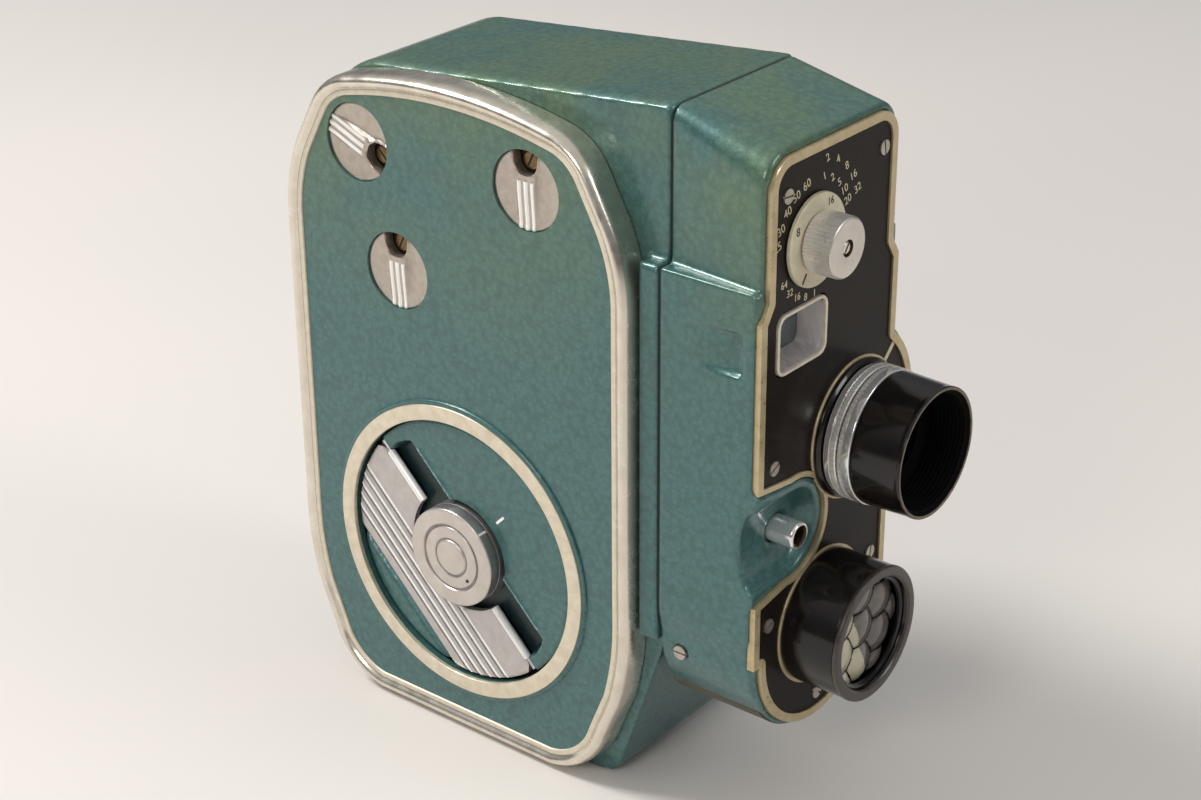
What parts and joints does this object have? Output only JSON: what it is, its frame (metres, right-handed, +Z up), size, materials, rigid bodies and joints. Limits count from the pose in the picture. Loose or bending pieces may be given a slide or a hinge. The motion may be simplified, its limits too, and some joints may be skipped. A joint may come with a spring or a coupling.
{
  "type": "cine camera",
  "caption": "Clockwork spool cine camera: upright lacquered case, folding winding key on the side, taking lens, built-in light meter, speed dial, finder and lift-off film door.",
  "frame": {"origin": "on the flat underside of the case, in its middle plane, below the centre of the winding key", "axes": "+Z up, the lens looks along -Y, -X is the winding side and +X the film door side"},
  "size_m": [0.0486, 0.1129, 0.1224],
  "materials": {
    "hammer_lacquer": "teal hammer-finish lacquer",
    "nickel": "polished nickel",
    "cream_ring": "cream satin",
    "ribbed_aluminium": "fine-turned, satin",
    "bright_steel": "turned, bright",
    "dark_steel": "blackened",
    "plain_steel": "ground",
    "black_gloss": "gloss black",
    "black_satin": "satin black",
    "olive_band": "dark olive brown, satin",
    "gold": "gold-coloured, satin",
    "brass": "machined",
    "cream_dial": "cream, printed",
    "knurled_chrome": "knurled",
    "brown_flange": "brown black",
    "lens_glass": "coated",
    "cell_glass": "moulded",
    "selenium": "pale cream",
    "black_plastic": "moulded black",
    "spring_steel": "blued"
  },
  "bodies": {
    "case": {"rear_case": "hammer_lacquer", "tripod_bush": "nickel", "front_case": "hammer_lacquer", "front_foot_band": "olive_band", "front_plate": "black_gloss", "front_plate_rim": "gold", "slotted_screws": "nickel", "winding_cover": "hammer_lacquer", "winding_cover_bead": "nickel", "winding_ring": "cream_ring", "thumb_disc_bases": "dark_steel", "finder_frame": "nickel", "finder_tunnel": "black_satin", "finder_glasses": "lens_glass", "finder_eyepiece": "black_plastic", "lens_barrel": "black_satin", "lens_glasses": "lens_glass", "iris_disc": "dark_steel", "cell_tube": "black_satin", "cell_flange": "brown_flange", "cell_honeycomb_glass": "cell_glass", "selenium_cell": "selenium", "meter_movement": "dark_steel", "main_plate": "ribbed_aluminium", "governor_bridge": "plain_steel", "supply_post": "plain_steel", "gate_plate": "plain_steel", "shutter_bridge": "ribbed_aluminium", "release_spring": "spring_steel"},
    "key": {"key_disc": "hammer_lacquer", "key_hub": "bright_steel", "winding_arbor": "plain_steel", "wing_hinge_pins": "plain_steel"},
    "wing": {"key_wing": "ribbed_aluminium"},
    "barrel": {"mainspring_barrel": "brass", "mainspring": "spring_steel"},
    "idler": {"idler_wheel": "brass"},
    "governor": {"governor": "brass"},
    "click": {"click_pawl": "plain_steel"},
    "shutter": {"shutter": "dark_steel"},
    "claw": {"pull_down_claw": "plain_steel"},
    "pressure": {"pressure_plate": "black_satin"},
    "supply": {"supply_spool": "black_plastic"},
    "take_up": {"take_up_spool": "black_plastic", "take_up_spindle": "plain_steel"},
    "upper_roller": {"upper_film_roller": "black_plastic"},
    "lower_roller": {"lower_film_roller": "black_plastic"},
    "door": {"film_door": "hammer_lacquer", "film_door_bead": "nickel"},
    "door_lock": {"door_lock_knob": "knurled_chrome"},
    "release": {"release_button": "knurled_chrome"},
    "speed": {"speed_dial": "cream_dial", "speed_knob": "knurled_chrome"},
    "aperture": {"aperture_ring": "knurled_chrome"},
    "focus": {"focus_ring": "knurled_chrome", "lens_hood": "black_satin"},
    "meter": {"meter_needle": "ribbed_aluminium"},
    "thumb_rear": {"thumb_disc_rear": "bright_steel"},
    "thumb_front": {"thumb_disc_front": "bright_steel"},
    "thumb_lower": {"thumb_disc_lower": "bright_steel"}
  },
  "joints": [
    {"name": "key_turn", "type": "hinge", "parent": "case", "child": "key", "pos_m": [-0.02, 0, 0.0351], "axis": [1, 0, 0], "continuous": true},
    {"name": "wing_fold", "type": "hinge", "parent": "key", "child": "wing", "pos_m": [-0.01965, 0.00099, 0.03411], "axis": [0, 0.7071, 0.7071], "range_deg": [0, 90]},
    {"name": "barrel_turn", "type": "hinge", "parent": "case", "child": "barrel", "pos_m": [-0.013, 0, 0.0351], "axis": [1, 0, 0], "continuous": true},
    {"name": "idler_turn", "type": "hinge", "parent": "case", "child": "idler", "pos_m": [-0.009, -0.01333, 0.05818], "axis": [1, 0, 0], "continuous": true},
    {"name": "governor_turn", "type": "hinge", "parent": "case", "child": "governor", "pos_m": [-0.012, -0.01585, 0.07251], "axis": [1, 0, 0], "continuous": true},
    {"name": "click_lift", "type": "hinge", "parent": "case", "child": "click", "pos_m": [-0.007, 0.013, 0.0331], "axis": [1, 0, 0], "range_deg": [-10, 0], "stiffness_Nm_per_rad": 0.002},
    {"name": "shutter_turn", "type": "hinge", "parent": "case", "child": "shutter", "pos_m": [-0.0015, -0.052, 0.0675], "axis": [0, 1, 0], "continuous": true},
    {"name": "claw_stroke", "type": "slide", "parent": "case", "child": "claw", "axis": [0, 0, 1], "range_m": [-0.0019, 0.0019]},
    {"name": "pressure_plate_lift", "type": "slide", "parent": "case", "child": "pressure", "axis": [0, 1, 0], "range_m": [0, 0.002], "stiffness_N_per_m": 150},
    {"name": "supply_spool_turn", "type": "hinge", "parent": "case", "child": "supply", "pos_m": [0.0055, 0.005, 0.0832], "axis": [1, 0, 0], "continuous": true},
    {"name": "take_up_spool_turn", "type": "hinge", "parent": "case", "child": "take_up", "pos_m": [0.0055, 0.005, 0.032], "axis": [1, 0, 0], "continuous": true},
    {"name": "upper_roller_turn", "type": "hinge", "parent": "case", "child": "upper_roller", "pos_m": [0.0053, -0.0344, 0.104], "axis": [1, 0, 0], "continuous": true},
    {"name": "lower_roller_turn", "type": "hinge", "parent": "case", "child": "lower_roller", "pos_m": [0.0053, -0.0344, 0.046], "axis": [1, 0, 0], "continuous": true},
    {"name": "film_door_lift", "type": "slide", "parent": "case", "child": "door", "axis": [1, 0, 0], "range_m": [0, 0.04]},
    {"name": "door_lock_turn", "type": "hinge", "parent": "door", "child": "door_lock", "pos_m": [0.021, 0, 0.06], "axis": [1, 0, 0], "range_deg": [0, 90]},
    {"name": "release_press", "type": "slide", "parent": "case", "child": "release", "axis": [0, 1, 0], "range_m": [0, 0.002], "stiffness_N_per_m": 400, "deforming": ["release_spring"]},
    {"name": "speed_dial_turn", "type": "hinge", "parent": "case", "child": "speed", "pos_m": [-0.0052, -0.06, 0.1024], "axis": [0, 1, 0], "range_deg": [-120, 120]},
    {"name": "aperture_turn", "type": "hinge", "parent": "case", "child": "aperture", "pos_m": [0.0079, -0.062, 0.0662], "axis": [0, 1, 0], "range_deg": [-50, 50]},
    {"name": "focus_turn", "type": "hinge", "parent": "case", "child": "focus", "pos_m": [0.0079, -0.066, 0.0662], "axis": [0, 1, 0], "range_deg": [-80, 80]},
    {"name": "meter_needle_swing", "type": "hinge", "parent": "case", "child": "meter", "pos_m": [0.0002, -0.051, 0.0355], "axis": [0, 1, 0], "range_deg": [-20, 20], "stiffness_Nm_per_rad": 0.0006},
    {"name": "thumb_rear_turn", "type": "hinge", "parent": "case", "child": "thumb_rear", "pos_m": [-0.0195, 0.0195, 0.1044], "axis": [1, 0, 0], "range_deg": [-109, 0]},
    {"name": "thumb_front_turn", "type": "hinge", "parent": "case", "child": "thumb_front", "pos_m": [-0.0195, -0.0163, 0.1044], "axis": [1, 0, 0], "range_deg": [0, 109]},
    {"name": "thumb_lower_turn", "type": "hinge", "parent": "case", "child": "thumb_lower", "pos_m": [-0.0195, 0.0118, 0.0838], "axis": [1, 0, 0], "range_deg": [0, 109]}
  ],
  "couplings": [
    {"joint": "idler_turn", "follows": "barrel_turn", "ratio": -5.3333},
    {"joint": "governor_turn", "follows": "barrel_turn", "ratio": 25.6}
  ]
}
